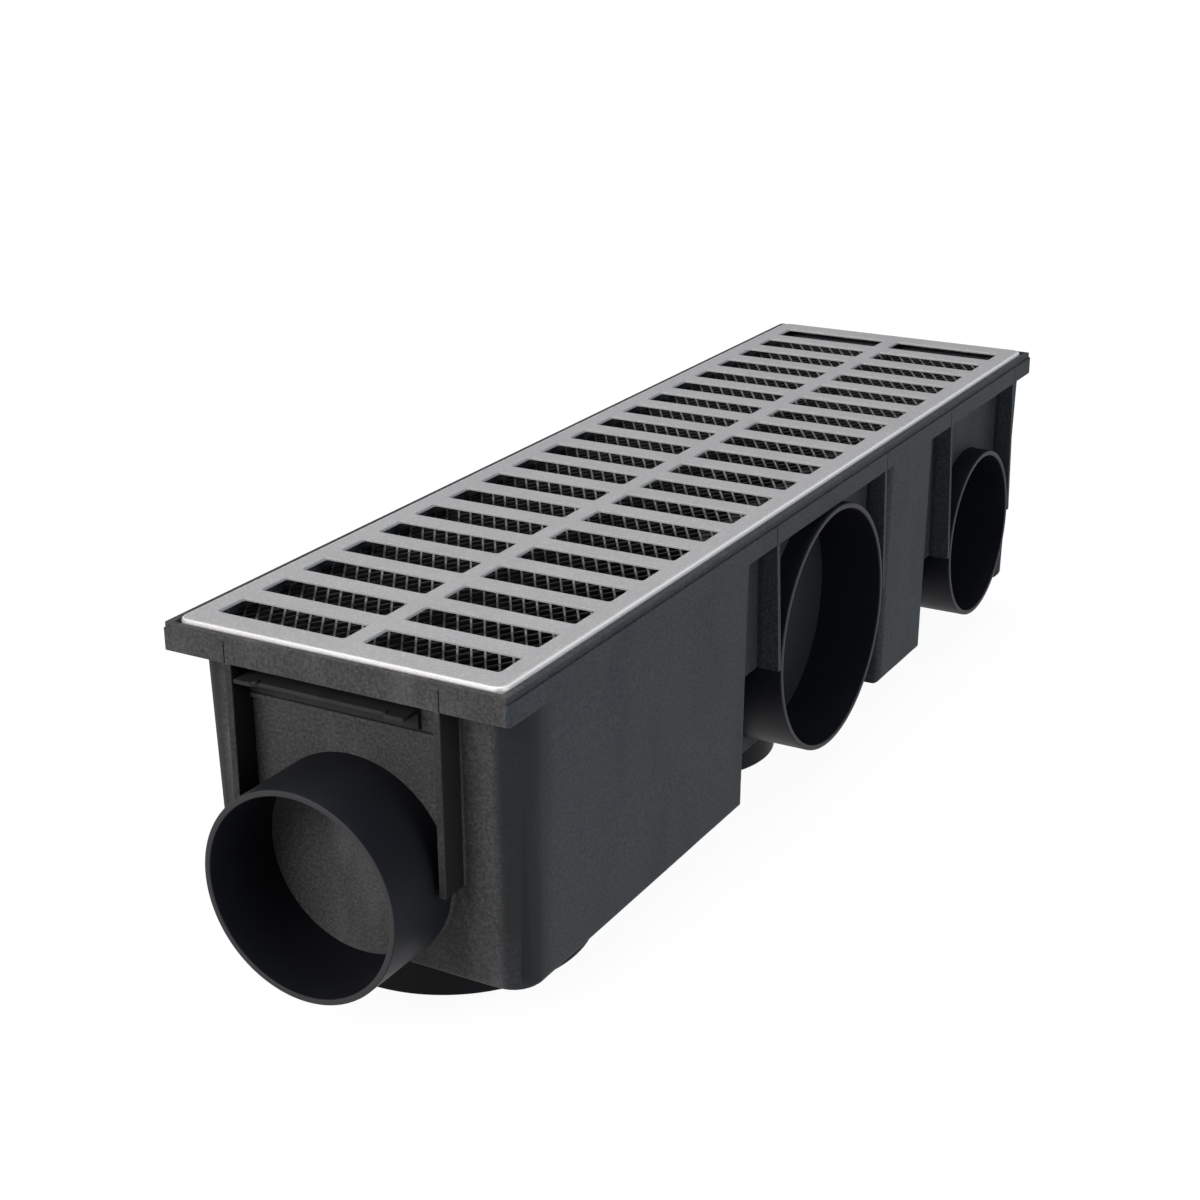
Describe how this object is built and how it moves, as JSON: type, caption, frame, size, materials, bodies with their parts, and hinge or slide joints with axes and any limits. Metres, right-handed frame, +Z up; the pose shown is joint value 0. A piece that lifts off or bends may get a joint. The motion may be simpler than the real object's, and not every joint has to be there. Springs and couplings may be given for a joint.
{
  "type": "floor drain channel",
  "caption": "Deep plastic channel drain with a slotted metal grate over a leaf mesh, and open pipe stubs at its end, side and underside.",
  "frame": {"origin": "under the middle of the rim, in the plane of the bottom outlets' rims that the drain stands on", "axes": "+X across the channel towards the side outlets, +Y along it away from the end outlet, +Z up"},
  "size_m": [0.1465, 0.5463, 0.138],
  "materials": {
    "body_plastic": "fine grained black moulded plastic, rougher and mottled on the end faces",
    "outlet_plastic": "smooth satin black moulded plastic",
    "clip_plastic": "satin black moulded plastic",
    "grate_metal": "light grey metallic coat, brighter on the rolled edges",
    "mesh_metal": "dark expanded mesh with worn grey strands"
  },
  "bodies": {
    "root": {"drain_body": "body_plastic", "side_housing_large": "body_plastic", "side_housing_small": "body_plastic", "grate": "grate_metal", "leaf_mesh": "mesh_metal", "end_clip": "clip_plastic", "end_outlet": "outlet_plastic", "side_outlet_large": "outlet_plastic", "side_outlet_small": "outlet_plastic", "bottom_outlet_near": "outlet_plastic", "bottom_outlet_mid": "outlet_plastic"}
  },
  "joints": []
}
